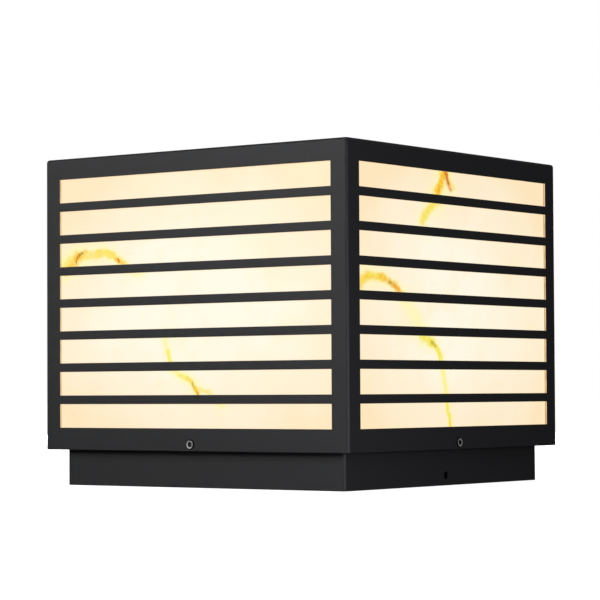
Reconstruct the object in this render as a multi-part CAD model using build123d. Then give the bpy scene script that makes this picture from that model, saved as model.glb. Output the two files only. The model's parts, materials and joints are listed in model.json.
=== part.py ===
from build123d import *
import os
from math import pi, sqrt

# A pillar-top lantern: a square, slotted steel housing lined with four translucent marble-pattern
# panels, standing on a recessed plinth. The housing lifts off to reach an E27 lamp.
#
# Millimetres. The origin is the centre of the foot, on the pillar's top face. +Z is up, -Y is the
# front and +X is the right-hand side. Every piece is written to its own STEP file.

# ---- driving dimensions -------------------------------------------------------------------------

WIDTH = 300.0                   # housing, square in plan
HEIGHT = 263.2                  # foot to top cover
HOUSING_FOOT = 28.8             # height of the housing's lower edge, and of the plinth
PLINTH_INSET = 12.5             # plinth face behind housing face
SHEET = 1.2                     # housing, plinth, tray and bracket sheet
BEND_R = 2.5                    # outer radius of a bend
CLEAR = 0.3                     # gap kept between the housing's pieces and the base's

# housing
WINDOW_ROWS = 8
WINDOW_H = 18.75
BAR_H = 7.1                     # bar between two windows
STILE_W = 15.5                  # upright beside the windows
TOP_RAIL_H = 17.0
WINDOW_R = 0.6                  # laser-cut corner
COVER_SKIRT = 4.0               # turned-down edge of the top cover

# housing screws, M4 low button head, one per face
SCREW_RISE = 5.2                # above the housing's lower edge
SCREW_R = 2.0
SCREW_L = 10.0
SCREW_HOLE_R = 2.2
SCREW_HEAD_R = 3.8
SCREW_HEAD_H = 1.0
SCREW_DOME_R = 4.25
SCREW_DOME_DROP = 1.6           # centre of the dome below the bearing face
SOCKET_AF = 2.5
SOCKET_DEPTH = 1.3
SQUARE_NUT_W = 7.0
SQUARE_NUT_H = 2.2
THREAD_GAP = 0.02               # bore of a nut over its screw

# marble-pattern panels
PANEL_T = 3.0
PANEL_HALF = 138.0              # half the width of a panel
PANEL_FOOT = 42.0
PANEL_TOP = 250.6
TAPE_T = 0.8                    # foam tape between housing and panel
TAPE_MARGIN = 0.5               # tape stays this far behind the windows' edge

# corner retainers, M3 weld studs and nuts
RETAINER_T = 1.2
RETAINER_LEG = 11.0
RETAINER_TAB = 16.0             # reach of the foot under a panel, from the panel's back face
RETAINER_TAB_END = 137.0
STUD_X = 140.2
STUD_Z = (60.0, 232.0)
STUD_R = 1.5
STUD_L = 8.0
STUD_HOLE_R = 1.7
STUD_NUT_AF = 5.5
STUD_NUT_H = 2.4

# tray
TRAY_GAP = 0.8                  # housing wall to tray upstand
TRAY_BEND_R = 1.8
TRAY_TOP = 40.2
TRAY_SLOT_R = 2.3               # open-topped slot that a slackened screw lifts out of
PLINTH_FLANGE = 14.0            # plinth's inward flange under the tray
RIVET_R = 2.0
RIVET_HEAD_R = 3.6
RIVET_HEAD_H = 1.2
RIVET_AT = (130.0, 90.0)        # from the centre across a side, and along it

# mounting plate, fixed to the pillar inside the plinth
PLATE_T = 2.0
PLATE_HALF = (133.0, 100.0)
PLATE_CORNER_R = 6.0
PLATE_OPENING_R = 70.0
LOCK_BRACKET_GAP = 0.4          # bracket to plinth wall
LOCK_BRACKET = (16.0, 40.0, 15.0)   # reach of the foot, width, height
LOCK_BRACKET_T = 1.5
ANCHOR_SPACING = 160.0
ANCHOR_HOLE_R = 4.25
LOCK_Z = 7.8                    # plinth's two M6 lock screws
LOCK_R = 3.0
LOCK_L = 8.0
LOCK_RECESS = 0.6
LOCK_HOLE_R = 3.2
LOCK_SOCKET_AF = 3.0
LOCK_SOCKET_DEPTH = 3.5
CLINCH_R = 3.7                  # shank of the clinch nut, in the lock bracket
CLINCH_HEAD_R = 4.2
CLINCH_H = 4.0

# cable gland M20, left of the lampholder
GLAND_X = -48.0
GLAND_AF = 24.0
GLAND_THREAD_R = 9.9
GLAND_HOLE_R = 10.1
GLAND_BORE_R = 6.0
GLAND_NOSE_R = 9.6              # lower thread, inside the dome nut
GLAND_CUP_R = 8.0               # seat of the seal
GLAND_NOSE_Z = 14.0
GLAND_HEX_Z = 21.3
GLAND_HEX_H = 6.0
GLAND_TOP = 38.0
DOME_Z = 9.5
DOME_MOUTH_R = 6.5
DOME_TIP_R = 9.5
DOME_SHOULDER = 12.0
SEAL_Z = (12.0, 19.0)
CABLE_R = 4.5                   # bore of the gland's seal
LOCKNUT_H = 4.0

# lampholder E27 and its bracket
BRACKET_TOP = 50.0
BRACKET_HALF_X = 21.0
BRACKET_HALF_Y = 21.4           # mid sheet
BRACKET_FOOT_Y = 38.0
BRACKET_BEND_R = 1.6            # at mid sheet
BRACKET_RIVET = (13.0, 31.0)
BRACKET_RIVET_R = 1.6
BRACKET_RIVET_HEAD_R = 3.2
HOLDER_BASE_R = 20.0
HOLDER_BASE_H = 14.0
HOLDER_R = 18.5
HOLDER_H = 42.0
HOLDER_BORE_R = 14.25
HOLDER_FLOOR = 8.0              # chamber floor above the base
HOLDER_LEDGE = 11.6             # shell's seat above the base
HOLDER_CHAMBER_R = 13.4
HOLDER_SCREW_X = 9.5
HOLDER_SCREW_L = 14.0
HOLDER_SCREW_HEAD = (3.4, 2.0)  # radius, height
HOLDER_SCREW_SLOT_W = 1.0
HEX_NUT_AF = 7.0
HEX_NUT_H = 3.2
SHELL_R = 14.2
SHELL_BORE_R = 13.3
SHELL_H = 26.0
SHELL_FLANGE_BORE_R = 8.0
SHELL_T = 0.8
CONTACT_W = 5.0
CONTACT_T = 0.6
CONTACT_FOOT_Y = (-4.6, 11.5)
CONTACT_TONGUE_Y = 3.0
CONTACT_H = 3.9
CONTACT_TIP = (1.8, 0.9)        # radius, height

# terminal block
TERMINAL_X = 62.0
TERMINAL_HALF = (15.0, 17.0)
TERMINAL_H = 16.0
TERMINAL_EAR = (6.0, 23.0, 4.0)     # half width, reach, thickness
TERMINAL_EAR_SCREW_Y = 20.0
POLE_PITCH = 9.5
POLE_Z = 36.5
INSERT_R = 3.2
INSERT_BORE_R = 1.7
INSERT_HALF = 12.0
CLAMP_X = 7.0                   # clamp screws either side of the block's middle
CLAMP_R = 1.5
CLAMP_WELL_R = 2.0
CLAMP_L = 5.0
CLAMP_SLOT = (0.6, 1.0)         # width, depth
FIXING_HEAD = (2.8, 1.8)        # radius, height of the screws in the ears
FIXING_TAIL = 2.0               # reach of those screws below the deck

# earth stud M4
EARTH_X = 30.0
EARTH_Y = -62.0
EARTH_STUD_H = 10.0
TAG_T = 0.8
TAG_R = 4.0
TAG_BARREL_Y = (-55.0, -48.0)
TAG_BARREL_Z = 32.4
TAG_BARREL_R = 2.0
TAG_BORE_R = 1.3

# leads
LEAD_R = 1.2
LEAD_END_X = 60.0

# lamp, E27
LAMP_FOOT = 63.2                # underside of the centre contact
LAMP_LENGTH = 112.0
GLOBE_R = 30.0
GLOBE_T = 1.5
CAP_CONTACT = (4.6, 0.8)        # radius, height
CAP_FOOT = 67.0
CAP_TOP = 90.0
CAP_R = 11.9
CAP_BORE_R = 11.2
CAP_RIDGE_R = 1.1
CAP_PITCH = 3.63
CAP_RIDGES = 5
CAP_FIRST_RIDGE = 2.7           # above the cap's foot
INSULATOR_FOOT_R = 6.4
LAMP_BODY_R = 13.2
LAMP_BODY_T = 1.8
LAMP_NECK_R = 11.18             # in the cap's bore
LAMP_NECK_DEPTH = 6.0
LAMP_SEAM_DROP = 20.0           # globe's centre above its joint with the body
LED_PLATE_T = 1.5
LED_PLATE_R = 19.9
LED_RING_R = 13.0
LED_SIZE = (2.8, 0.7)
LEDS = 9

# ---- derived sizes ------------------------------------------------------------------------------

HALF = WIDTH / 2
INNER_HALF = HALF - SHEET
INNER_BEND_R = BEND_R - SHEET
THROUGH = WIDTH + 2             # long enough to cut both opposite walls
GRILLE_H = WINDOW_ROWS * WINDOW_H + (WINDOW_ROWS - 1) * BAR_H
GRILLE_TOP = HEIGHT - TOP_RAIL_H
GRILLE_FOOT = GRILLE_TOP - GRILLE_H
WINDOW_W = WIDTH - 2 * STILE_W
SCREW_Z = HOUSING_FOOT + SCREW_RISE
COVER_FOOT = HEIGHT - COVER_SKIRT

PANEL_FACE = INNER_HALF - TAPE_T
PANEL_BACK = PANEL_FACE - PANEL_T
RETAINER_BACK = PANEL_BACK - RETAINER_T
RETAINER_FOOT = PANEL_FOOT - RETAINER_T

PLINTH_HALF = HALF - PLINTH_INSET
TRAY_HALF = INNER_HALF - TRAY_GAP
TRAY_BACK = TRAY_HALF - SHEET
DECK_UNDER = HOUSING_FOOT
DECK = DECK_UNDER + SHEET
LOCK_FACE = PLINTH_HALF - SHEET - LOCK_BRACKET_GAP
LOCK_TIP = PLINTH_HALF - LOCK_RECESS

HOLDER_BASE = BRACKET_TOP
HOLDER_TOP = HOLDER_BASE + HOLDER_H
CHAMBER_FLOOR = HOLDER_BASE + HOLDER_FLOOR
SHELL_SEAT = HOLDER_BASE + HOLDER_LEDGE
GLOBE_Z = LAMP_FOOT + LAMP_LENGTH - GLOBE_R
SEAM_Z = GLOBE_Z - LAMP_SEAM_DROP
SEAM_R = sqrt(GLOBE_R ** 2 - LAMP_SEAM_DROP ** 2)


# ---- shape helpers ------------------------------------------------------------------------------

def block(x0, x1, y0, y1, z0, z1):
    """A box between two corners."""
    return Pos((x0 + x1) / 2, (y0 + y1) / 2, (z0 + z1) / 2) * Box(x1 - x0, y1 - y0, z1 - z0)


def rod(radius, z0, z1, x=0.0, y=0.0):
    """An upright cylinder."""
    return Pos(x, y, (z0 + z1) / 2) * Cylinder(radius, z1 - z0)


def tube(outer, inner, z0, z1, x=0.0, y=0.0):
    """An upright tube."""
    return rod(outer, z0, z1, x, y) - rod(inner, z0 - 1, z1 + 1, x, y)


def taper(r0, r1, z0, z1):
    """An upright cone on the origin's axis, r0 at the bottom and r1 at the top."""
    return Pos(0, 0, (z0 + z1) / 2) * Cone(r0, r1, z1 - z0)


def hexagon(across_flats, z0, z1, x=0.0, y=0.0):
    """An upright hexagonal bar, with two flats facing along Y."""
    outline = RegularPolygon(across_flats / sqrt(3), 6)
    return Pos(x, y, z0) * extrude(outline, z1 - z0)


def square_bar(half, radius, z0, z1):
    """An upright square bar with rounded corners, centred on the origin."""
    return Pos(0, 0, z0) * extrude(RectangleRounded(2 * half, 2 * half, radius), z1 - z0)


def side(k):
    """Turns a shape made at the front to face k: 0 front, 1 right, 2 rear, 3 left."""
    return Rot(0, 0, 90 * k)


def facing_front(x, y, z):
    """Places a shape made along +Z so that it points out of the front face."""
    return Pos(x, y, z) * Rot(90, 0, 0)


def group(shapes):
    """Several separate solids in one node."""
    return Compound(children=[solid for shape in shapes for solid in shape.solids()])


def on_each_side(shape):
    """Four copies of a front shape, one on each face."""
    return [side(k) * shape for k in range(4)]


# ---- housing ------------------------------------------------------------------------------------

def through_slot(z):
    """One window, cut right through the housing along Y."""
    outline = RectangleRounded(WINDOW_W, WINDOW_H, WINDOW_R)
    return facing_front(0, 0, z) * extrude(outline, THROUGH / 2, both=True)


def housing_walls():
    """The four walls before they are parted, cut with the windows and the screw holes."""
    walls = square_bar(HALF, BEND_R, HOUSING_FOOT, COVER_FOOT)
    walls -= square_bar(INNER_HALF, INNER_BEND_R, HOUSING_FOOT, COVER_FOOT)
    pitch = WINDOW_H + BAR_H
    cutters = [through_slot(GRILLE_FOOT + WINDOW_H / 2 + row * pitch) for row in range(WINDOW_ROWS)]
    cutters.append(facing_front(0, 0, SCREW_Z) * Cylinder(SCREW_HOLE_R, THROUGH))
    for cutter in cutters:
        walls -= cutter
        walls -= side(1) * cutter
    return walls


def wall(k, walls):
    """One wall, from mitre to mitre. The mitres are welded and ground flush."""
    corner = HALF + BEND_R
    wedge = Polyline((0, 0), (-corner, -corner), (corner, -corner), (0, 0))
    return walls & (side(k) * extrude(make_face(wedge), HEIGHT))


def rounded_block(half, radius, z0, z1):
    """A square block whose upright and upper edges are rounded."""
    body = block(-half, half, -half, half, z0, z1)
    top_edges = body.faces().sort_by(Axis.Z)[-1].edges()
    return fillet(body.edges().filter_by(Axis.Z) + top_edges, radius)


def top_cover():
    """Shallow pressed lid, welded edge to edge on the walls."""
    lid = rounded_block(HALF, BEND_R, COVER_FOOT, HEIGHT)
    return lid - rounded_block(INNER_HALF, INNER_BEND_R, COVER_FOOT - SHEET, HEIGHT - SHEET)


# ---- panels and what holds them -----------------------------------------------------------------

def diffuser():
    """Flat marble-pattern panel behind the front windows."""
    return block(-PANEL_HALF, PANEL_HALF, -PANEL_FACE, -PANEL_BACK, PANEL_FOOT, PANEL_TOP)


def foam_tape():
    """Foam tape frame between the front panel and the housing."""
    frame = block(-PANEL_HALF, PANEL_HALF, -INNER_HALF, -PANEL_FACE, PANEL_FOOT, PANEL_TOP)
    half = WINDOW_W / 2 + TAPE_MARGIN
    low = GRILLE_FOOT - TAPE_MARGIN
    high = GRILLE_TOP + TAPE_MARGIN
    return frame - block(-half, half, -INNER_HALF, -PANEL_FACE, low, high)


def retainer_half():
    """The leg and foot behind the front panel's right-hand edge."""
    inner = PANEL_BACK - RETAINER_LEG
    leg = block(inner, PANEL_BACK, -PANEL_BACK, -RETAINER_BACK, RETAINER_FOOT, PANEL_TOP)
    tab_start = PANEL_BACK - RETAINER_TAB
    tab = block(tab_start, RETAINER_TAB_END, -PANEL_FACE, -RETAINER_BACK, RETAINER_FOOT, PANEL_FOOT)
    return leg + tab


def corner_retainer():
    """Angle strip behind two panels' edges at the front right corner, with two stud holes."""
    half = retainer_half()
    angle = half + side(1) * mirror(half, about=Plane.YZ)
    for z in STUD_Z:
        angle -= facing_front(STUD_X, -PANEL_BACK, z) * Cylinder(STUD_HOLE_R, STUD_L)
    return angle


def at_studs(shape):
    """A front piece made at height 0, repeated at the eight retainer studs."""
    return group([side(k) * Pos(STUD_X, 0, z) * shape for k in range(4) for z in STUD_Z])


def retainer_stud():
    """M3 weld stud on the housing's inner face, beside a panel."""
    return facing_front(0, -INNER_HALF, 0) * rod(STUD_R, -STUD_L, 0)


def retainer_nut():
    """M3 nut that clamps the retainer."""
    nut = hexagon(STUD_NUT_AF, -STUD_NUT_H, 0) - rod(STUD_R + THREAD_GAP, -STUD_NUT_H, 0)
    return facing_front(0, -RETAINER_BACK, 0) * nut


# ---- housing screws -----------------------------------------------------------------------------

def button_screw():
    """M4 low-head screw with a hexagon socket, head up, its bearing face at height 0."""
    head = rod(SCREW_HEAD_R, 0, SCREW_HEAD_H) & (Pos(0, 0, -SCREW_DOME_DROP) * Sphere(SCREW_DOME_R))
    socket = hexagon(SOCKET_AF, SCREW_HEAD_H - SOCKET_DEPTH, SCREW_HEAD_H)
    return head + rod(SCREW_R, -SCREW_L, 0) - socket


def square_nut():
    """M4 square nut, its upper face at height 0. The tray's deck keeps it from turning."""
    half = SQUARE_NUT_W / 2
    nut = block(-half, half, -half, half, -SQUARE_NUT_H, 0)
    return nut - rod(SCREW_R + THREAD_GAP, -SQUARE_NUT_H, 0)


def housing_screws():
    return group(on_each_side(facing_front(0, -HALF, SCREW_Z) * button_screw()))


def housing_nuts():
    return group(on_each_side(facing_front(0, CLEAR - TRAY_BACK, SCREW_Z) * square_nut()))


# ---- plinth, tray and mounting plate ------------------------------------------------------------

def plinth():
    """Recessed foot: four walls with an inward flange under the tray."""
    walls = square_bar(PLINTH_HALF, BEND_R, 0, DECK_UNDER)
    walls -= square_bar(PLINTH_HALF - SHEET, INNER_BEND_R, 0, DECK_UNDER - SHEET)
    walls -= square_bar(PLINTH_HALF - PLINTH_FLANGE, BEND_R, 0, DECK_UNDER)
    walls -= Pos(0, 0, LOCK_Z) * Rot(0, 90, 0) * Cylinder(LOCK_HOLE_R, THROUGH)
    for place in rivet_places():
        walls -= place * rod(RIVET_R, 0, DECK)
    return walls


def rivet_places():
    """The eight rivets that join tray and plinth, two on each side."""
    across, along = RIVET_AT
    return [side(k) * Pos(x, -across, 0) for k in range(4) for x in (-along, along)]


def tray():
    """Deck with an upstand, which the housing fits over. Each side has an open slot for its screw."""
    pan = square_bar(TRAY_HALF, TRAY_BEND_R, DECK_UNDER, TRAY_TOP)
    pan -= square_bar(TRAY_BACK, TRAY_BEND_R - SHEET, DECK, TRAY_TOP)
    slot = facing_front(0, 0, SCREW_Z) * Cylinder(TRAY_SLOT_R, THROUGH)
    slot += block(-TRAY_SLOT_R, TRAY_SLOT_R, -HALF, HALF, SCREW_Z, HEIGHT)
    pan -= slot
    pan -= side(1) * slot
    pan -= rod(GLAND_HOLE_R, 0, DECK, GLAND_X)
    for place in rivet_places():
        pan -= place * rod(RIVET_R, 0, DECK)
    for x, y in bracket_rivet_places():
        pan -= rod(BRACKET_RIVET_R, 0, DECK, x, y)
    for y in (-TERMINAL_EAR_SCREW_Y, TERMINAL_EAR_SCREW_Y):
        pan -= rod(CLAMP_R, 0, DECK, TERMINAL_X, y)
    return pan


def rivet(shank_r, head_r, head_h, z0, z1):
    """A rivet gripping from z0 to z1, with a flat head above and below."""
    return rod(shank_r, z0, z1) + rod(head_r, z1, z1 + head_h) + rod(head_r, z0 - head_h, z0)


def tray_rivets():
    one = rivet(RIVET_R, RIVET_HEAD_R, RIVET_HEAD_H, DECK_UNDER - SHEET, DECK)
    return group([place * one for place in rivet_places()])


def mounting_plate():
    """Flat plate on the pillar, with the anchor holes and the cable opening."""
    half_x, half_y = PLATE_HALF
    plate = extrude(RectangleRounded(2 * half_x, 2 * half_y, PLATE_CORNER_R), PLATE_T)
    plate -= rod(PLATE_OPENING_R, 0, PLATE_T)
    spot = ANCHOR_SPACING / 2
    for x, y in ((spot, spot), (-spot, spot), (-spot, -spot), (spot, -spot)):
        plate -= rod(ANCHOR_HOLE_R, 0, PLATE_T, x, y)
    return plate


def pair_in_x(shape):
    """A piece made along +Z, laid along +X at the lock screws' height, and its opposite."""
    right = Pos(0, 0, LOCK_Z) * Rot(0, 90, 0) * shape
    return group([right, side(2) * right])


def lock_brackets():
    """Angles welded on the mounting plate, which carry the lock nuts."""
    foot, width, height = LOCK_BRACKET
    inner = LOCK_FACE - LOCK_BRACKET_T
    top = PLATE_T + height
    angle = block(LOCK_FACE - foot, LOCK_FACE, -width / 2, width / 2, PLATE_T, PLATE_T + LOCK_BRACKET_T)
    angle += block(inner, LOCK_FACE, -width / 2, width / 2, PLATE_T, top)
    angle -= Pos(0, 0, LOCK_Z) * Rot(0, 90, 0) * Cylinder(CLINCH_R, THROUGH)
    return group([angle, side(2) * angle])


def lock_nuts():
    """M6 clinch nuts in the lock brackets."""
    inner = LOCK_FACE - LOCK_BRACKET_T
    nut = rod(CLINCH_R, inner, LOCK_FACE) + rod(CLINCH_HEAD_R, inner - CLINCH_H, inner)
    return pair_in_x(nut - rod(LOCK_R + THREAD_GAP, inner - CLINCH_H, LOCK_FACE))


def plinth_lock_screws():
    """M6 grub screws wound out of the clinch nuts into the plinth's holes."""
    screw = rod(LOCK_R, LOCK_TIP - LOCK_L, LOCK_TIP)
    return pair_in_x(screw - hexagon(LOCK_SOCKET_AF, LOCK_TIP - LOCK_SOCKET_DEPTH, LOCK_TIP))


# ---- cable gland --------------------------------------------------------------------------------

def at_gland(shape):
    return Pos(GLAND_X, 0, 0) * shape


def gland_body():
    hex_top = GLAND_HEX_Z + GLAND_HEX_H
    body = rod(GLAND_NOSE_R, GLAND_NOSE_Z, GLAND_HEX_Z) + hexagon(GLAND_AF, GLAND_HEX_Z, hex_top)
    body += rod(GLAND_THREAD_R, hex_top, GLAND_TOP)
    body -= rod(GLAND_BORE_R, GLAND_NOSE_Z, GLAND_TOP)
    return at_gland(body - rod(GLAND_CUP_R, GLAND_NOSE_Z, SEAL_Z[1]))


def gland_seal():
    return at_gland(tube(GLAND_CUP_R, CABLE_R, *SEAL_Z))


def gland_dome_nut():
    nut = taper(DOME_TIP_R, GLAND_AF / 2, DOME_Z, DOME_SHOULDER)
    nut += hexagon(GLAND_AF, DOME_SHOULDER, GLAND_HEX_Z)
    nut -= rod(GLAND_NOSE_R + THREAD_GAP, GLAND_NOSE_Z, GLAND_HEX_Z)
    nut -= rod(GLAND_CUP_R, SEAL_Z[0], GLAND_NOSE_Z)
    return at_gland(nut - rod(DOME_MOUTH_R, DOME_Z, SEAL_Z[0]))


def gland_locknut():
    top = DECK + LOCKNUT_H
    return at_gland(hexagon(GLAND_AF, DECK, top) - rod(GLAND_THREAD_R + THREAD_GAP, DECK, top))


def gland_washer():
    return at_gland(tube(GLAND_AF / 2, GLAND_HOLE_R, GLAND_HEX_Z + GLAND_HEX_H, DECK_UNDER))


# ---- lampholder ---------------------------------------------------------------------------------

def bracket_rivet_places():
    x, y = BRACKET_RIVET
    return [(x, y), (-x, y), (-x, -y), (x, -y)]


def lampholder_bracket():
    """Hat-section bracket, open at both ends for the leads."""
    y = BRACKET_HALF_Y
    low = DECK + SHEET / 2
    high = BRACKET_TOP - SHEET / 2
    fold = FilletPolyline((-BRACKET_FOOT_Y, low), (-y, low), (-y, high), (y, high), (y, low),
                          (BRACKET_FOOT_Y, low), radius=BRACKET_BEND_R)
    hat = side(1) * Rot(90, 0, 0) * extrude(trace(fold, SHEET), BRACKET_HALF_X, both=True)
    for x, y in bracket_rivet_places():
        hat -= rod(BRACKET_RIVET_R, DECK, DECK + SHEET, x, y)
    for turn in range(4):
        hat -= side(turn) * rod(SCREW_HOLE_R, DECK + SHEET, BRACKET_TOP, HOLDER_SCREW_X)
    return hat


def bracket_rivets():
    one = rivet(BRACKET_RIVET_R, BRACKET_RIVET_HEAD_R, SHEET, DECK_UNDER, DECK + SHEET)
    return group([Pos(x, y, 0) * one for x, y in bracket_rivet_places()])


def lampholder_body():
    """Porcelain body: a chamber for the screws and the contact, and the bore above it."""
    body = rod(HOLDER_BASE_R, HOLDER_BASE, HOLDER_BASE + HOLDER_BASE_H)
    body += rod(HOLDER_R, HOLDER_BASE, HOLDER_TOP)
    body = fillet(body.edges().group_by(Axis.Z)[-1], SHEET)
    body -= rod(HOLDER_BORE_R, SHELL_SEAT, HOLDER_TOP)
    body -= rod(HOLDER_CHAMBER_R, CHAMBER_FLOOR, SHELL_SEAT)
    for turn in range(4):
        body -= side(turn) * rod(SCREW_HOLE_R, HOLDER_BASE, CHAMBER_FLOOR, HOLDER_SCREW_X)
    return body


def lampholder_shell():
    """Sleeve that takes the lamp's cap, with a flange that the neutral lead meets."""
    sleeve = tube(SHELL_R, SHELL_BORE_R, SHELL_SEAT, SHELL_SEAT + SHELL_H)
    return sleeve + tube(SHELL_R, SHELL_FLANGE_BORE_R, SHELL_SEAT, SHELL_SEAT + SHELL_T)


def lampholder_contact():
    """Folded brass strip over the live lead's end, with a tip under the lamp."""
    half = CONTACT_W / 2
    y0, y1 = CONTACT_FOOT_Y
    floor = CHAMBER_FLOOR
    top = floor + CONTACT_H
    strip = block(-half, half, y0, y1, floor, floor + CONTACT_T)
    strip += block(-half, half, y0, y0 + CONTACT_T, floor, top)
    strip += block(-half, half, y0, CONTACT_TONGUE_Y, top - CONTACT_T, top)
    tip_r, tip_h = CONTACT_TIP
    return strip + rod(tip_r, top, top + tip_h)


def lampholder_screws():
    head_r, head_h = HOLDER_SCREW_HEAD
    screw = rod(SCREW_R, CHAMBER_FLOOR - HOLDER_SCREW_L, CHAMBER_FLOOR)
    top = CHAMBER_FLOOR + head_h
    screw += rod(head_r, CHAMBER_FLOOR, top)
    slot = HOLDER_SCREW_SLOT_W / 2
    screw -= block(-head_r, head_r, -slot, slot, top - head_h / 2, top)
    return group([Pos(x, 0, 0) * screw for x in (-HOLDER_SCREW_X, HOLDER_SCREW_X)])


def lampholder_nuts():
    top = BRACKET_TOP - SHEET
    nut = hexagon(HEX_NUT_AF, top - HEX_NUT_H, top) - rod(SCREW_R + THREAD_GAP, top - HEX_NUT_H, top)
    return group([Pos(x, 0, 0) * nut for x in (-HOLDER_SCREW_X, HOLDER_SCREW_X)])


# ---- terminal block and earth stud --------------------------------------------------------------

def at_poles(shape):
    """A piece at the live, neutral and earth poles."""
    return [Pos(TERMINAL_X, y, 0) * shape for y in (POLE_PITCH, 0, -POLE_PITCH)]


def along_x(radius, half_length):
    """A rod along X at the height of the poles."""
    return Pos(0, 0, POLE_Z) * Rot(0, 90, 0) * Cylinder(radius, 2 * half_length)


def terminal_block():
    half_x, half_y = TERMINAL_HALF
    ear_w, ear_y, ear_t = TERMINAL_EAR
    body = block(-half_x, half_x, -half_y, half_y, DECK, DECK + TERMINAL_H)
    body += block(-ear_w, ear_w, -ear_y, ear_y, DECK, DECK + ear_t)
    for y in (-TERMINAL_EAR_SCREW_Y, TERMINAL_EAR_SCREW_Y):
        body -= rod(CLAMP_R, DECK, DECK + ear_t, 0, y)
    body = Pos(TERMINAL_X, 0, 0) * body
    wells = [rod(CLAMP_WELL_R, POLE_Z, DECK + TERMINAL_H, x) for x in (-CLAMP_X, CLAMP_X)]
    for cut in [along_x(INSERT_R, half_x), *wells]:
        for pole in at_poles(cut):
            body -= pole
    return body


def terminal_inserts():
    insert = along_x(INSERT_R, INSERT_HALF) - along_x(INSERT_BORE_R, INSERT_HALF)
    for x in (-CLAMP_X, CLAMP_X):
        insert -= rod(CLAMP_R, POLE_Z, POLE_Z + INSERT_R, x)
    return group(at_poles(insert))


def terminal_screws():
    foot = POLE_Z + LEAD_R + CLEAR
    top = foot + CLAMP_L
    slot_w, slot_d = CLAMP_SLOT
    screw = rod(CLAMP_R, foot, top)
    screw -= block(-CLAMP_R, CLAMP_R, -slot_w / 2, slot_w / 2, top - slot_d, top)
    return group([pole for x in (-CLAMP_X, CLAMP_X) for pole in at_poles(Pos(x, 0, 0) * screw)])


def terminal_fixings():
    ear_top = DECK + TERMINAL_EAR[2]
    head_r, head_h = FIXING_HEAD
    screw = rod(CLAMP_R, DECK_UNDER - FIXING_TAIL, ear_top)
    screw += rod(head_r, ear_top, ear_top + head_h)
    places = [Pos(TERMINAL_X, y, 0) for y in (-TERMINAL_EAR_SCREW_Y, TERMINAL_EAR_SCREW_Y)]
    return group([place * screw for place in places])


def at_earth(shape):
    return Pos(EARTH_X, EARTH_Y, 0) * shape


def earth_stud():
    return at_earth(rod(SCREW_R, DECK, DECK + EARTH_STUD_H))


def earth_nut():
    low = DECK + TAG_T
    top = low + HEX_NUT_H
    return at_earth(hexagon(HEX_NUT_AF, low, top) - rod(SCREW_R + THREAD_GAP, low, top))


def earth_tag():
    """Ring tag with a barrel that the earth lead is crimped into."""
    y0, y1 = TAG_BARREL_Y
    place = Pos(EARTH_X, (y0 + y1) / 2, TAG_BARREL_Z) * Rot(90, 0, 0)
    tongue = block(EARTH_X - TAG_BARREL_R, EARTH_X + TAG_BARREL_R, EARTH_Y, y1, DECK, DECK + TAG_T)
    tag = at_earth(rod(TAG_R, DECK, DECK + TAG_T)) + tongue
    tag += place * Cylinder(TAG_BARREL_R, y1 - y0)
    tag -= place * Cylinder(TAG_BORE_R, y1 - y0)
    return tag - at_earth(rod(SCREW_R + THREAD_GAP, DECK, DECK + TAG_T))


# ---- leads --------------------------------------------------------------------------------------

def lead(points, radii):
    """An insulated lead: straight runs joined by tangent arcs."""
    path = FilletPolyline(*points, radius=radii)
    wire = sweep(Plane(origin=path @ 0, z_dir=path % 0) * Circle(LEAD_R), path=path)
    share = wire.volume / (path.length * pi * LEAD_R ** 2)
    print(f"lead {path.length:.1f} mm, radii {radii}, {share:.4f} of its section times its length")
    return wire


def live_lead():
    y = POLE_PITCH
    return lead([(LEAD_END_X, y, POLE_Z), (0, y, POLE_Z), (0, y, CHAMBER_FLOOR)], [12])


def neutral_lead():
    y = -POLE_PITCH
    points = [(LEAD_END_X, 0, POLE_Z), (42, 0, POLE_Z), (20, y, POLE_Z), (0, y, POLE_Z),
              (0, y, SHELL_SEAT)]
    return lead(points, [36, 42, 10.5])


def earth_lead():
    y = -POLE_PITCH
    points = [(LEAD_END_X, y, POLE_Z), (38, y, POLE_Z), (EARTH_X, -28, TAG_BARREL_Z),
              (EARTH_X, -52, TAG_BARREL_Z)]
    return lead(points, [14, 38])


# ---- lamp ---------------------------------------------------------------------------------------

def bulb_contact():
    radius, height = CAP_CONTACT
    return rod(radius, LAMP_FOOT, LAMP_FOOT + height)


def bulb_insulator():
    height = CAP_CONTACT[1]
    return taper(INSULATOR_FOOT_R, CAP_R, LAMP_FOOT + height, CAP_FOOT)


def bulb_cap():
    """Lamp cap with rolled thread ridges."""
    cap = rod(CAP_R, CAP_FOOT, CAP_TOP)
    for turn in range(CAP_RIDGES):
        z = CAP_FOOT + CAP_FIRST_RIDGE + CAP_PITCH * turn
        cap += Pos(0, 0, z) * Torus(CAP_R, CAP_RIDGE_R)
    return cap - rod(CAP_BORE_R, CAP_FOOT, CAP_TOP)


def bulb_body():
    """Hollow cone between cap and globe, with a neck inside the cap."""
    neck_foot = CAP_TOP - LAMP_NECK_DEPTH
    body = taper(LAMP_BODY_R, SEAM_R, CAP_TOP, SEAM_Z) + rod(LAMP_NECK_R, neck_foot, CAP_TOP)
    body -= taper(LAMP_BODY_R - LAMP_BODY_T, SEAM_R - LAMP_BODY_T, CAP_TOP + LAMP_BODY_T, SEAM_Z)
    return body - rod(LAMP_NECK_R - LAMP_BODY_T, neck_foot, CAP_TOP + LAMP_BODY_T)


def bulb_led_plate():
    return rod(LED_PLATE_R, SEAM_Z - LED_PLATE_T, SEAM_Z)


def bulb_leds():
    width, height = LED_SIZE
    half = width / 2
    chip = block(LED_RING_R - half, LED_RING_R + half, -half, half, SEAM_Z, SEAM_Z + height)
    return group([Rot(0, 0, turn * 360 / LEDS) * chip for turn in range(LEDS)])


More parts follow.
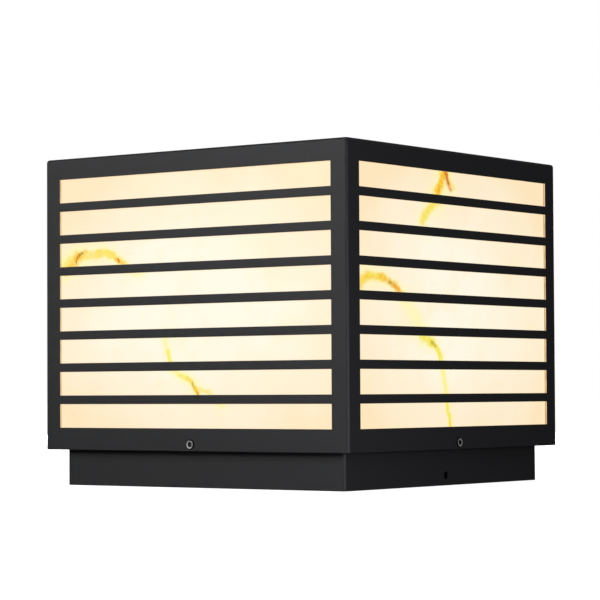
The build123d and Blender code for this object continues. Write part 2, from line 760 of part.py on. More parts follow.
def bulb_globe():
    globe = Pos(0, 0, GLOBE_Z) * (Sphere(GLOBE_R) - Sphere(GLOBE_R - GLOBE_T))
    return globe - rod(GLOBE_R, GLOBE_Z - GLOBE_R, SEAM_Z)


# ---- nodes --------------------------------------------------------------------------------------

NODES = {
    "top_cover": top_cover(),
    "retainer_studs": at_studs(retainer_stud()),
    "retainer_nuts": at_studs(retainer_nut()),
    "housing_screws": housing_screws(),
    "housing_nuts": housing_nuts(),
    "plinth": plinth(),
    "tray": tray(),
    "tray_rivets": tray_rivets(),
    "mounting_plate": mounting_plate(),
    "lock_brackets": lock_brackets(),
    "lock_nuts": lock_nuts(),
    "plinth_lock_screws": plinth_lock_screws(),
    "gland_body": gland_body(),
    "gland_seal": gland_seal(),
    "gland_dome_nut": gland_dome_nut(),
    "gland_locknut": gland_locknut(),
    "gland_washer": gland_washer(),
    "lampholder_bracket": lampholder_bracket(),
    "bracket_rivets": bracket_rivets(),
    "lampholder_body": lampholder_body(),
    "lampholder_shell": lampholder_shell(),
    "lampholder_contact": lampholder_contact(),
    "lampholder_screws": lampholder_screws(),
    "lampholder_nuts": lampholder_nuts(),
    "terminal_block": terminal_block(),
    "terminal_inserts": terminal_inserts(),
    "terminal_screws": terminal_screws(),
    "terminal_fixings": terminal_fixings(),
    "earth_stud": earth_stud(),
    "earth_nut": earth_nut(),
    "earth_tag": earth_tag(),
    "live_lead": live_lead(),
    "neutral_lead": neutral_lead(),
    "earth_lead": earth_lead(),
    "bulb_contact": bulb_contact(),
    "bulb_insulator": bulb_insulator(),
    "bulb_cap": bulb_cap(),
    "bulb_body": bulb_body(),
    "bulb_led_plate": bulb_led_plate(),
    "bulb_leds": bulb_leds(),
    "bulb_globe": bulb_globe(),
}
WALLS = housing_walls()
for k, face in enumerate(("front", "right", "rear", "left")):
    NODES[face + "_wall"] = wall(k, WALLS)
    NODES[face + "_diffuser"] = side(k) * diffuser()
    NODES[face + "_foam_tape"] = side(k) * foam_tape()
for k, corner in enumerate(("front_right", "rear_right", "rear_left", "front_left")):
    NODES["corner_retainer_" + corner] = side(k) * corner_retainer()

os.makedirs("parts", exist_ok=True)
for name, shape in NODES.items():
    export_step(shape, f"parts/{name}.step")
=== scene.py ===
import json
from math import cos, pi, radians, sin, sqrt, tau

import bmesh
import bpy
from mathutils import Matrix, Vector


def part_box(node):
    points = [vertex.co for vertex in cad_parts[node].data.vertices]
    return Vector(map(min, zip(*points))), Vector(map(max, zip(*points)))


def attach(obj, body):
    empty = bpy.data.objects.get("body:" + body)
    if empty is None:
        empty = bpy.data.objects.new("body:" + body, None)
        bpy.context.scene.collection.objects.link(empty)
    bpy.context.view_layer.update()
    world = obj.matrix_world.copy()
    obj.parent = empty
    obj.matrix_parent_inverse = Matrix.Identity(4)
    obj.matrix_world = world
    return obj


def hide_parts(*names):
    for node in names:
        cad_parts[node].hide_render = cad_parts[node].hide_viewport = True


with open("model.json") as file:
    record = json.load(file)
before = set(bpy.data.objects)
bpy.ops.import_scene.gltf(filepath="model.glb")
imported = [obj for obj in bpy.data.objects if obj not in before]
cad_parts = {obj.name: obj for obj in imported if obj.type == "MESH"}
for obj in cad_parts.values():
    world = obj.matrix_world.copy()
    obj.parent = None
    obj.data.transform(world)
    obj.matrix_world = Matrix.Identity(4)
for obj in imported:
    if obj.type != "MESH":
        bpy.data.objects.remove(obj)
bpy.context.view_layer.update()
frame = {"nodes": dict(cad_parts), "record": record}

# A pillar-top lantern in a plain studio. Everything is in metres, in the frame of the CAD model: +Z is
# up, -Y is the front face and +X the right-hand face. Shapes are worked out in millimetres and scaled.

MM = 0.001
FACES = ("front", "right", "rear", "left")


def mm_box(name):
    """A CAD node's lowest and highest corners, in millimetres."""
    low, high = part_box(name)
    return Vector(low) / MM, Vector(high) / MM


# ---- node helpers -------------------------------------------------------------------------------

def node(tree, kind, links=None, **settings):
    """Adds a shader node. links gives each input a socket to link or a plain value."""
    made = tree.nodes.new("ShaderNode" + kind)
    for name, value in settings.items():
        setattr(made, name, value)
    for name, value in (links or {}).items():
        if isinstance(value, bpy.types.NodeSocket):
            tree.links.new(value, made.inputs[name])
        else:
            made.inputs[name].default_value = value
    return made


def calc(tree, operation, a, b=0.0, clamp=False):
    """The result of a math node."""
    return node(tree, "Math", {0: a, 1: b}, operation=operation, use_clamp=clamp).outputs[0]


def vector_math(tree, operation, a, b):
    """The vector that a vector math node gives."""
    return node(tree, "VectorMath", {0: a, 1: b}, operation=operation).outputs["Vector"]


def dot(tree, a, b):
    """The dot product of two vectors."""
    return node(tree, "VectorMath", {0: a, 1: b}, operation="DOT_PRODUCT").outputs["Value"]


def axes(tree, where):
    """The three coordinates of a point."""
    return node(tree, "SeparateXYZ", {0: where}).outputs


def ramp(tree, value, low, high, at_low=0.0, at_high=1.0):
    """A smooth step of value from low to high."""
    links = {"Value": value, "From Min": low, "From Max": high, "To Min": at_low, "To Max": at_high}
    return node(tree, "MapRange", links, interpolation_type="SMOOTHSTEP").outputs["Result"]


def mix(tree, factor, a, b, blend="MIX"):
    """A colour mix."""
    made = node(tree, "Mix", {0: factor, 6: a, 7: b}, data_type="RGBA", blend_type=blend)
    return made.outputs[2]


def noise(tree, where, scale, detail=2.0, rough=0.5, output="Fac"):
    """Noise at a point. detail is how many finer layers it has, and rough how strong they are."""
    links = {"Vector": where, "Scale": scale, "Detail": detail, "Roughness": rough}
    return node(tree, "TexNoise", links).outputs[output]


def bump(tree, height, depth, strength, normal=None):
    """A bumped normal. depth is the relief's depth in millimetres."""
    links = {"Height": height, "Distance": depth * MM, "Strength": strength}
    if normal is not None:
        links["Normal"] = normal
    return node(tree, "Bump", links).outputs["Normal"]


def srgb(red, green, blue):
    """A linear colour from 0 to 255 display values."""
    def linear(value):
        share = value / 255
        return share / 12.92 if share <= 0.04045 else ((share + 0.055) / 1.055) ** 2.4
    return (linear(red), linear(green), linear(blue), 1.0)


def shade_of(colour, share):
    """A colour made lighter or darker."""
    return tuple(min(1.0, part * share) for part in colour[:3]) + (1.0,)


def new_material(name):
    """Makes a material. Gives it, its tree, its Principled shader, and object coordinates."""
    made = bpy.data.materials.new(name)
    made.use_nodes = True
    tree = made.node_tree
    shader = next(n for n in tree.nodes if n.type == "BSDF_PRINCIPLED")
    where = tree.nodes.new("ShaderNodeTexCoord").outputs["Object"]
    return made, tree, shader, where


def set_shader(tree, shader, **inputs):
    """Sets or links the Principled shader's inputs, named with _ for a space."""
    for name, value in inputs.items():
        socket = shader.inputs[name.replace("_", " ")]
        if isinstance(value, bpy.types.NodeSocket):
            tree.links.new(value, socket)
        else:
            socket.default_value = value


# ---- materials ----------------------------------------------------------------------------------

COAT_BLACK = (0.03, 0.03, 0.0335, 1.0)
COAT_ROUGHNESS = 0.52
CORNER_WEAR = (4 * MM, 0.5 * MM)        # how far from a corner wear begins, and where it is full
RIM_WEAR = (3 * MM, 0.3 * MM)           # the same below the top edge
PAINTED_GLOW_HEIGHTS = (46 * MM, 247 * MM)       # the windows' edges get a painted glow of the panels' light between these
GLAZE_END = (1.8 * MM, 1.2 * MM)        # heights above the lampholder's foot where the glaze runs out
NO_LIGHT = (0.0, 0.0, 0.0, 1.0)
WHITE = (1.0, 1.0, 1.0, 1.0)


def rubbed(tree, where, half, top):
    """How near a point of a square housing is to its upright corners or its top edge, 0 to 1."""
    begin, full = CORNER_WEAR
    rim_begin, rim_full = RIM_WEAR
    x, y, z = axes(tree, where)
    inner = calc(tree, "MINIMUM", calc(tree, "ABSOLUTE", x), calc(tree, "ABSOLUTE", y))
    outer = calc(tree, "MAXIMUM", calc(tree, "ABSOLUTE", x), calc(tree, "ABSOLUTE", y))
    corner = ramp(tree, inner, half - begin, half - full)
    rim = calc(tree, "MULTIPLY", ramp(tree, z, top - rim_begin, top - rim_full),
               ramp(tree, outer, half - begin, half - full))
    return calc(tree, "MAXIMUM", corner, rim)


def powder_coat(name, covered):
    """Black powder coat on a CAD node: fine pebbles, slow changes of tone, rubbed edges, dust."""
    made, tree, shader, where = new_material(name)
    half, _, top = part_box(covered)[1]
    slow = noise(tree, where, 9.0, 3.0)
    fine = noise(tree, where, 1500.0, 3.0, 0.6)
    peel = noise(tree, where, 240.0, 2.0)
    dust = noise(tree, where, 55.0, 5.0, 0.7)
    tone = mix(tree, ramp(tree, slow, 0.3, 0.7), shade_of(COAT_BLACK, 0.96), shade_of(COAT_BLACK, 1.07))
    tone = mix(tree, ramp(tree, fine, 0.35, 0.75, 0.0, 0.5), tone, shade_of(COAT_BLACK, 1.3))
    tone = mix(tree, ramp(tree, dust, 0.6, 0.8, 0.0, 0.08), tone, shade_of(COAT_BLACK, 3.0))
    patchy = ramp(tree, dust, 0.35, 0.65, 0.0, 0.25)
    worn = calc(tree, "MULTIPLY", rubbed(tree, where, half, top), patchy)
    tone = mix(tree, worn, tone, shade_of(COAT_BLACK, 1.4))
    normal = bump(tree, fine, 0.06, 0.5, bump(tree, peel, 0.05, 0.3))
    rough = ramp(tree, slow, 0.3, 0.7, COAT_ROUGHNESS - 0.006, COAT_ROUGHNESS + 0.006)
    rough = calc(tree, "ADD", rough, calc(tree, "MULTIPLY", worn, 0.12))
    set_shader(tree, shader, Base_Color=tone, Roughness=rough, Normal=normal, IOR=1.5)
    return made


def painted_glow_edge(name, glow):
    """The windows' coated edges, with the panels' light on them painted in as a warm glow."""
    made, tree, shader, where = new_material(name)
    height = axes(tree, where)[2]
    low, high = PAINTED_GLOW_HEIGHTS
    painted_glow_band = calc(tree, "MULTIPLY", ramp(tree, height, low - MM, low), ramp(tree, height, high + MM, high))
    patch = ramp(tree, noise(tree, where, 60.0, 3.0), 0.3, 0.7, 0.6, 1.0)
    tone = mix(tree, patch, shade_of(COAT_BLACK, 0.9), shade_of(COAT_BLACK, 1.2))
    # painted light: the panels' glow on the edges is emission, not real lighting
    painted_glow = mix(tree, calc(tree, "MULTIPLY", painted_glow_band, patch), NO_LIGHT, glow)
    normal = bump(tree, noise(tree, where, 1500.0, 3.0), 0.06, 0.5)
    set_shader(tree, shader, Base_Color=tone, Roughness=0.5, Normal=normal, Emission_Color=painted_glow,
               Emission_Strength=0.9)
    return made


def metal(name, colour, stain, roughness, spangle=0.0, metallic=1.0):
    """Bare or plated metal: cloudy stains, fine scratches, and spangle where it is zinc plated."""
    made, tree, shader, where = new_material(name)
    cloud = noise(tree, where, 70.0, 5.0, 0.65)
    tone = mix(tree, ramp(tree, cloud, 0.42, 0.72, 0.0, 0.75), colour, stain)
    if spangle:
        cell = node(tree, "TexVoronoi", {"Vector": where, "Scale": 190.0}).outputs["Color"]
        flake = axes(tree, cell)[0]
        tone = mix(tree, calc(tree, "MULTIPLY", flake, spangle), tone, shade_of(colour, 1.35))
    scratch = noise(tree, vector_math(tree, "MULTIPLY", where, (1.0, 1.0, 0.06)), 1400.0, 2.0)
    rough = ramp(tree, cloud, 0.3, 0.7, roughness - 0.06, roughness + 0.1)
    normal = bump(tree, scratch, 0.02, 0.35)
    set_shader(tree, shader, Base_Color=tone, Roughness=rough, Normal=normal, Metallic=metallic)
    return made


def plastic(name, colour, roughness, grain=700.0, relief=0.4):
    """Moulded plastic or rubber: fine grain and slight changes of tone."""
    made, tree, shader, where = new_material(name)
    cloud = noise(tree, where, 45.0, 4.0, 0.6)
    fine = noise(tree, where, grain, 2.0)
    tone = mix(tree, ramp(tree, cloud, 0.3, 0.7), shade_of(colour, 0.84), shade_of(colour, 1.1))
    rough = ramp(tree, fine, 0.3, 0.7, roughness - 0.05, roughness + 0.07)
    normal = bump(tree, fine, 0.04, relief)
    set_shader(tree, shader, Base_Color=tone, Roughness=rough, Normal=normal, IOR=1.49)
    return made


def striped_insulation(name, colour, stripe):
    """An insulated lead with a stripe of a second colour along its upper side."""
    made, tree, shader, where = new_material(name)
    upward = axes(tree, where.node.outputs["Normal"])[2]
    tone = mix(tree, ramp(tree, upward, 0.35, 0.45), colour, stripe)
    grime = ramp(tree, noise(tree, where, 160.0, 3.0), 0.4, 0.75, 0.0, 0.3)
    tone = mix(tree, grime, tone, shade_of(colour, 0.7))
    normal = bump(tree, noise(tree, where, 900.0), 0.03, 0.3)
    set_shader(tree, shader, Base_Color=tone, Roughness=0.42, Normal=normal)
    return made


def porcelain(name):
    """White glaze over a rough, unglazed foot."""
    made, tree, shader, where = new_material(name)
    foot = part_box("lampholder_body")[0][2]
    height = axes(tree, where)[2]
    glazed, unglazed = foot + GLAZE_END[0], foot + GLAZE_END[1]
    cloud = ramp(tree, noise(tree, where, 60.0, 3.0), 0.3, 0.7)
    glaze = mix(tree, cloud, srgb(236, 233, 224), srgb(246, 244, 238))
    speck = ramp(tree, noise(tree, where, 420.0, 2.0), 0.68, 0.74, 0.0, 0.5)
    glaze = mix(tree, speck, glaze, srgb(150, 140, 122))
    tone = mix(tree, ramp(tree, height, glazed, unglazed), glaze, srgb(214, 204, 184))
    rough = ramp(tree, height, glazed, unglazed, 0.14, 0.75)
    normal = bump(tree, noise(tree, where, 150.0), 0.05, 0.25)
    set_shader(tree, shader, Base_Color=tone, Roughness=rough, Normal=normal, Coat_Weight=0.4)
    return made


def glowing(name, colour, second, strength, body):
    """Translucent material that glows, with clouds of a second colour. body is its own colour."""
    made, tree, shader, where = new_material(name)
    cloud = ramp(tree, noise(tree, where, 35.0, 3.0), 0.25, 0.75)
    glow = mix(tree, calc(tree, "MULTIPLY", cloud, 0.6), colour, second)
    skin = mix(tree, cloud, body, shade_of(body, 0.92))
    normal = bump(tree, noise(tree, where, 500.0), 0.02, 0.3)
    set_shader(tree, shader, Base_Color=skin, Roughness=0.4, Normal=normal, Emission_Color=glow,
               Emission_Strength=strength)
    return made


# ---- marble-pattern panels ----------------------------------------------------------------------

PEACH = srgb(254, 230, 190)
CREAM = srgb(255, 240, 211)
MILK = srgb(255, 249, 229)
LEMON = srgb(255, 247, 184)
BUTTER = srgb(252, 242, 150)
STRAW = srgb(254, 240, 200)
YELLOW = srgb(250, 222, 92)
LIME = srgb(244, 232, 84)
GOLD = srgb(248, 196, 48)
AMBER = srgb(232, 144, 36)
BROWN = srgb(196, 104, 24)
OLIVE = srgb(122, 92, 34)

# Each stroke of a vein is a line across a face, in millimetres along the face and up, with its half
# width, its strength, how soft it is, and its colour.
VEINS = {
    "front": (
        ([(-137, 172), (-135, 178), (-131, 180), (-126, 182)], 4.5, 0.7, 0.9, BUTTER),
        ([(-131, 174), (-127, 177), (-122, 180), (-118, 183)], 6.5, 0.95, 0.9, YELLOW),
        ([(-130, 172), (-125, 175), (-119, 178)], 4.6, 0.75, 0.9, GOLD),
        ([(-119, 182), (-115, 184), (-110, 186)], 4.0, 0.98, 0.8, GOLD),
        ([(-109, 184), (-102, 184), (-95, 185)], 5.0, 0.85, 0.8, YELLOW),
        ([(-96, 186), (-90, 186), (-84, 185), (-80, 184)], 3.6, 0.95, 0.6, YELLOW),
        ([(-90, 187), (-84, 185), (-81, 184)], 2.2, 0.6, 0.8, LIME),
        ([(-81, 184), (-77, 181), (-73, 179), (-68, 177)], 3.2, 0.9, 0.9, YELLOW),
        ([(-77, 180), (-74, 178), (-70, 177)], 2.0, 0.95, 0.7, GOLD),
        ([(-75, 180), (-74, 178)], 1.0, 0.8, 0.7, BROWN),
        ([(-115, 184), (-113, 187), (-112, 186)], 1.4, 0.56, 0.9, OLIVE),
        ([(-119, 179), (-117, 183), (-115, 185)], 1.2, 0.75, 0.6, BROWN),
        ([(-119, 180), (-119, 178)], 1.1, 0.43, 0.9, OLIVE),
        ([(-66, 170), (-58, 168), (-50, 168)], 3.4, 0.5, 0.9, BUTTER),
        ([(-27, 117), (-25, 110), (-23, 104)], 2.6, 0.75, 0.9, BUTTER),
        ([(-24, 106), (-23, 102), (-21, 98)], 2.4, 0.9, 0.8, LIME),
        ([(-21, 94), (-15, 93), (-8, 94)], 2.2, 0.75, 0.9, BUTTER),
        ([(-20, 93), (-13, 88), (-7, 86), (-1, 82), (3, 77)], 3.2, 0.85, 0.8, BUTTER),
        ([(-13, 88), (-9, 86), (-5, 84)], 1.7, 0.8, 0.8, LIME),
        ([(-5, 85), (0, 82), (3, 78), (5, 74)], 2.4, 0.95, 0.7, YELLOW),
        ([(0, 81), (2, 78), (4, 75)], 1.2, 0.50, 0.9, OLIVE),
        ([(4, 77), (5, 74), (6, 72)], 1.7, 0.95, 0.7, GOLD),
        ([(5, 75), (6, 72)], 0.9, 0.9, 0.7, AMBER),
        ([(6, 76), (12, 75), (18, 74)], 2.6, 0.75, 0.9, YELLOW),
        ([(20, 70), (25, 66), (31, 64)], 3.2, 0.6, 0.9, BUTTER),
    ),
    "right": (
        ([(-18, 249), (-19, 240), (-22, 234), (-27, 228)], 6.5, 0.9, 0.9, YELLOW),
        ([(-15, 249), (-18, 241), (-22, 235), (-25, 229)], 4.2, 0.98, 0.7, GOLD),
        ([(-23, 233), (-24, 228)], 1.3, 0.7, 0.8, AMBER),
        ([(-11, 249), (-9, 242), (-6, 237), (-2, 234)], 3.0, 0.6, 0.9, YELLOW),
        ([(-15, 249), (-13, 242), (-10, 237), (-7, 233)], 3.4, 0.9, 0.9, AMBER),
        ([(-14, 249), (-12, 242), (-10, 237)], 1.7, 0.9, 0.8, BROWN),
        ([(-22, 224), (-30, 221), (-36, 217), (-42, 212), (-47, 206)], 5.6, 0.95, 0.9, YELLOW),
        ([(-32, 219), (-39, 214), (-46, 208)], 3.2, 0.6, 0.8, LIME),
        ([(-137, 146), (-133, 153), (-128, 158), (-122, 161)], 5.5, 0.85, 0.9, GOLD),
        ([(-128, 158), (-121, 161), (-112, 161), (-102, 160)], 4.2, 0.98, 0.8, YELLOW),
        ([(-126, 160), (-118, 161), (-110, 161)], 2.2, 0.6, 0.8, GOLD),
        ([(-119, 162), (-113, 162)], 1.8, 0.7, 0.8, LIME),
        ([(-104, 161), (-95, 159), (-88, 156), (-81, 152), (-76, 148)], 4.0, 0.95, 0.8, GOLD),
        ([(-93, 158), (-89, 156)], 1.9, 0.46, 0.9, OLIVE),
        ([(-87, 155), (-80, 151)], 2.2, 0.7, 0.9, AMBER),
        ([(-72, 144), (-64, 137), (-56, 129), (-50, 122)], 6.0, 0.85, 0.9, LEMON),
        ([(-50, 117), (-42, 115), (-34, 112)], 4.4, 0.98, 0.8, LIME),
        ([(-36, 112), (-29, 108), (-24, 103), (-21, 96)], 3.4, 0.98, 0.7, LIME),
        ([(-35, 112), (-30, 109)], 1.9, 0.50, 0.9, OLIVE),
        ([(-21, 94), (-19, 88), (-17, 82), (-14, 71)], 3.4, 0.95, 0.8, BUTTER),
        ([(-15, 70), (-13, 60), (-10, 52), (-9, 44)], 3.2, 0.98, 0.8, LIME),
        ([(-10, 52), (-9, 44)], 1.2, 0.8, 0.7, GOLD),
    ),
    "rear": (
        ([(-96, 236), (-86, 224), (-70, 214), (-60, 200), (-58, 186)], 3.6, 0.9, 0.9, YELLOW),
        ([(-92, 231), (-84, 222), (-72, 215)], 2.4, 0.9, 0.8, GOLD),
        ([(-82, 221), (-77, 217)], 1.1, 0.9, 0.7, BROWN),
        ([(-62, 204), (-59, 196)], 1.5, 0.53, 0.9, OLIVE),
        ([(-58, 190), (-48, 172), (-30, 160), (-18, 144), (-14, 128)], 3.2, 0.8, 0.9, BUTTER),
        ([(44, 96), (52, 108), (66, 116), (84, 118), (97, 110), (104, 98)], 3.4, 0.9, 0.9, YELLOW),
        ([(54, 110), (64, 115), (74, 117)], 2.4, 0.9, 0.8, GOLD),
        ([(60, 114), (66, 116)], 1.1, 0.85, 0.8, BROWN),
        ([(97, 110), (103, 101)], 1.8, 0.9, 0.8, AMBER),
        ([(8, 62), (20, 70), (34, 84), (44, 96)], 2.4, 0.8, 0.9, LIME),
    ),
    "left": (
        ([(128, 206), (116, 214), (100, 214), (86, 206), (78, 194)], 3.8, 0.9, 0.9, YELLOW),
        ([(116, 213), (106, 215), (96, 213)], 2.6, 0.9, 0.8, GOLD),
        ([(88, 207), (83, 202)], 1.5, 0.53, 0.9, OLIVE),
        ([(78, 196), (62, 184), (50, 166), (34, 158), (22, 140), (18, 122)], 2.8, 0.85, 0.9, LIME),
        ([(58, 178), (50, 167), (42, 162)], 4.0, 0.8, 0.9, BUTTER),
        ([(24, 142), (20, 132)], 1.6, 0.9, 0.8, AMBER),
        ([(-118, 58), (-104, 70), (-84, 76), (-70, 88), (-64, 104)], 3.4, 0.85, 0.9, YELLOW),
        ([(-104, 70), (-92, 74), (-82, 77)], 2.2, 0.9, 0.8, GOLD),
        ([(-95, 73), (-90, 75)], 1.0, 0.9, 0.7, BROWN),
    ),
}
HALO_REACH = 2.6                # a vein's pale halo, as a multiple of its width
HALO_STRENGTH = 0.65
PANEL_HALF = (150.0, 104.0)     # half a panel's width and height, roughly
PANEL_MID_Z = 139.0
PANEL_APART = 400.0             # shift of the noise from one face to the next
STRAW_SHIFT = (90.0, 40.0, 0.0)
PANEL_BODY = (0.07, 0.063, 0.055, 1.0)
PANEL_POWER = 0.975


def segment_distance():
    """A node group: how far a point is from a straight segment, in the face's plane."""
    group = bpy.data.node_groups.new("segment_distance", "ShaderNodeTree")
    for name in ("point", "start", "end"):
        group.interface.new_socket(name, in_out="INPUT", socket_type="NodeSocketVector")
    group.interface.new_socket("distance", in_out="OUTPUT", socket_type="NodeSocketFloat")
    inside = group.nodes.new("NodeGroupInput").outputs
    result = group.nodes.new("NodeGroupOutput").inputs
    along = vector_math(group, "SUBTRACT", inside["end"], inside["start"])
    offset = vector_math(group, "SUBTRACT", inside["point"], inside["start"])
    share = calc(group, "DIVIDE", dot(group, offset, along), dot(group, along, along), clamp=True)
    nearest = node(group, "VectorMath", {0: along, "Scale": share}, operation="SCALE").outputs["Vector"]
    gap = node(group, "VectorMath", {0: offset, 1: nearest}, operation="DISTANCE").outputs["Value"]
    group.links.new(gap, result["distance"])
    return group


SEGMENT = segment_distance()


def vein_distance(tree, where, points):
    """How far a point of the face is from a polyline."""
    nearest = None
    for start, end in zip(points, points[1:]):
        made = tree.nodes.new("ShaderNodeGroup")
        made.node_tree = SEGMENT
        tree.links.new(where, made.inputs["point"])
        made.inputs["start"].default_value = (*start, 0.0)
        made.inputs["end"].default_value = (*end, 0.0)
        here = made.outputs["distance"]
        nearest = here if nearest is None else calc(tree, "MINIMUM", nearest, here)
    return nearest


def face_point(tree, where, k):
    """A point of face k in millimetres: along the face from its middle, and up."""
    along = (cos(k * pi / 2), sin(k * pi / 2), 0.0)
    u = calc(tree, "MULTIPLY", dot(tree, where, along), 1 / MM)
    v = calc(tree, "MULTIPLY", axes(tree, where)[2], 1 / MM)
    return node(tree, "CombineXYZ", {0: u, 1: v}).outputs[0], u, v


def wobbled(tree, where, amount, scale):
    """where, pushed about by noise."""
    push = noise(tree, where, scale, 3.0, 0.6, "Color")
    push = vector_math(tree, "SUBTRACT", push, (0.5, 0.5, 0.5))
    push = vector_math(tree, "MULTIPLY", push, (amount, amount, 0.0))
    return vector_math(tree, "ADD", where, push)


def panel_glow(tree, shifted, u, v):
    """The panel's glow without its veins: milky in the middle and peach towards the edges, a painted falloff
    of the lamp's light from the middle, with faint streaks.
    """
    across = calc(tree, "DIVIDE", u, PANEL_HALF[0])
    up = calc(tree, "DIVIDE", calc(tree, "SUBTRACT", v, PANEL_MID_Z), PANEL_HALF[1])
    # painted falloff of the lamp's light: milky in the middle, peach towards the panel's edges
    square = calc(tree, "ADD", calc(tree, "MULTIPLY", across, across), calc(tree, "MULTIPLY", up, up))
    cloud = noise(tree, shifted, 0.012, 3.0, 0.55)
    spread = calc(tree, "ADD", square, calc(tree, "MULTIPLY", calc(tree, "SUBTRACT", cloud, 0.5), 1.2))
    glow = mix(tree, ramp(tree, spread, -0.05, 0.7), MILK, CREAM)
    glow = mix(tree, ramp(tree, spread, 0.6, 1.5), glow, PEACH)
    haze = noise(tree, wobbled(tree, shifted, 30.0, 0.02), 0.045, 4.0, 0.55)
    glow = mix(tree, ramp(tree, haze, 0.5, 0.78, 0.0, 0.3), glow, PEACH)
    straw = noise(tree, vector_math(tree, "ADD", shifted, STRAW_SHIFT), 0.02, 2.0)
    glow = mix(tree, ramp(tree, straw, 0.5, 0.8, 0.0, 0.6), glow, STRAW)
    streak = noise(tree, vector_math(tree, "MULTIPLY", shifted, (0.035, 1.0, 1.0)), 0.4, 3.0, 0.6)
    return mix(tree, ramp(tree, streak, 0.45, 0.8, 0.0, 0.22), glow, CREAM)


def marble_panel(k):
    """A glowing translucent panel with yellow and amber veins."""
    made, tree, shader, where = new_material(FACES[k] + "_marble")
    flat, u, v = face_point(tree, where, k)
    apart = (PANEL_APART * k, 0.0, 0.0)
    shifted = vector_math(tree, "ADD", flat, apart)
    glow = panel_glow(tree, shifted, u, v)

    bent = wobbled(tree, wobbled(tree, shifted, 3.2, 0.05), 1.8, 0.2)
    bent = vector_math(tree, "SUBTRACT", bent, apart)
    swell = ramp(tree, noise(tree, shifted, 0.14, 3.0, 0.6), 0.3, 0.7, 1.05, 0.66)
    blotch = ramp(tree, noise(tree, shifted, 0.3, 4.0, 0.6), 0.34, 0.56, 0.55, 1.0)
    reaches = []
    for points, half_width, strength, _, _ in VEINS[FACES[k]]:
        reach = calc(tree, "MULTIPLY", vein_distance(tree, bent, points), swell)
        reaches.append(reach)
        halo = ramp(tree, reach, half_width * HALO_REACH, 0.0, 0.0, strength * HALO_STRENGTH)
        glow = mix(tree, halo, glow, LEMON)
    for reach, (_, half_width, strength, soft, colour) in zip(reaches, VEINS[FACES[k]]):
        cover = ramp(tree, reach, half_width, half_width * (1 - soft), 0.0, strength)
        glow = mix(tree, calc(tree, "MULTIPLY", cover, blotch), glow, colour)

    body = mix(tree, 1.0, glow, PANEL_BODY, "MULTIPLY")
    polish = ramp(tree, noise(tree, where, 40.0), 0.3, 0.7, 0.3, 0.4)
    normal = bump(tree, noise(tree, where, 120.0, 2.0), 0.04, 0.3)
    set_shader(tree, shader, Base_Color=body, Roughness=polish, Normal=normal, IOR=1.49,
               Emission_Color=glow, Emission_Strength=PANEL_POWER)
    return made


# ---- mesh helpers -------------------------------------------------------------------------------

MERGE_DISTANCE = 0.0005         # mm
WELD_DISTANCE = 0.005 * MM
BEVEL_ANGLE = radians(35)
EDGE_WIDTHS = {"powder_coat": 0.25, "zinc_steel": 0.15, "porcelain": 0.35, "gland_nylon": 0.3,
               "terminal_plastic": 0.3, "stainless": 0.2, "brass": 0.12, "rivet_aluminium": 0.3,
               "marble_panel": 0.3}


def mesh_piece(name, bm, body, materials, replaced):
    """Turns a bmesh in millimetres into a piece of the object that stands for a CAD node."""
    bmesh.ops.remove_doubles(bm, verts=bm.verts, dist=MERGE_DISTANCE)
    bmesh.ops.dissolve_degenerate(bm, edges=bm.edges, dist=MERGE_DISTANCE)
    bmesh.ops.recalc_face_normals(bm, faces=bm.faces)
    bmesh.ops.scale(bm, vec=(MM, MM, MM), verts=bm.verts)
    data = bpy.data.meshes.new(name)
    bm.to_mesh(data)
    bm.free()
    for material in materials:
        data.materials.append(material)
    for face in data.polygons:
        face.use_smooth = True
    piece = bpy.data.objects.new(name, data)
    bpy.context.scene.collection.objects.link(piece)
    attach(piece, body)
    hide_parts(*replaced)
    return piece


def soften(piece, slot):
    """Rounds a piece's sharp edges by its material slot's width, and evens out its shading."""
    weld = piece.modifiers.new("weld", "WELD")
    weld.merge_threshold = WELD_DISTANCE
    edges = piece.modifiers.new("edges", "BEVEL")
    edges.width = EDGE_WIDTHS[slot] * MM
    edges.segments = 2
    edges.limit_method = "ANGLE"
    edges.angle_limit = BEVEL_ANGLE
    shading = piece.modifiers.new("shading", "WEIGHTED_NORMAL")
    shading.keep_sharp = True


def revolve(bm, profile, segments, closed=False, place=None, dark=()):
    """Adds a turned shape. profile(turn) gives radius and height along it, so it may vary as it turns.

    Rows of faces listed in dark get the piece's second material.
    """
    columns = []
    for step in range(segments):
        angle = tau * step / segments
        column = []
        for radius, height in profile(step / segments):
            at = Vector((radius * cos(angle), radius * sin(angle), height))
            column.append(bm.verts.new(place @ at if place else at))
        columns.append(column)
    count = len(columns[0])
    for step in range(segments):
        here, there = columns[step], columns[(step + 1) % segments]
        for i in range(count if closed else count - 1):
            n = (i + 1) % count
            face = bm.faces.new((here[i], there[i], there[n], here[n]))
            face.material_index = int(i in dark)


def thread(turn, radius, depth, pitch, low, high, steps):
    """Radius and height up a right-hand thread, with steps points a pitch, fading out at both ends."""
    count = round((high - low) / pitch * steps)
    points = []
    for step in range(count + 1):
        height = low + (high - low) * step / count
        wave = 0.5 + 0.5 * cos(tau * (height / pitch - turn))
        fade = min(1.0, min(height - low, high - height) / (0.5 * pitch))
        points.append((radius - depth * (1 - wave * fade), height))
    return points


def hexagon_radius(turn, across_flats):
    """Radius of a hexagon at a share of a turn."""
    sixth = tau / 6
    return across_flats / 2 / cos((turn * tau) % sixth - sixth / 2)


def arc(centre_z, radius, from_z, to_z, steps):
    """Radius and height along a circle's right-hand half, evenly spaced in height."""
    points = []
    for step in range(steps + 1):
        share = 0.5 - 0.5 * cos(pi * step / steps)
        height = from_z + (to_z - from_z) * share
        points.append((sqrt(max(0.0, radius ** 2 - (height - centre_z) ** 2)), height))
    return points


# ---- housing ------------------------------------------------------------------------------------

SHEET = 1.2
BEND_R = 2.5
BEND_STEPS = 6
WINDOW_ROWS = 8
STILE_W = 15.5
WINDOW_H = 18.75
BAR_H = 7.1
TOP_RAIL_H = 17.0


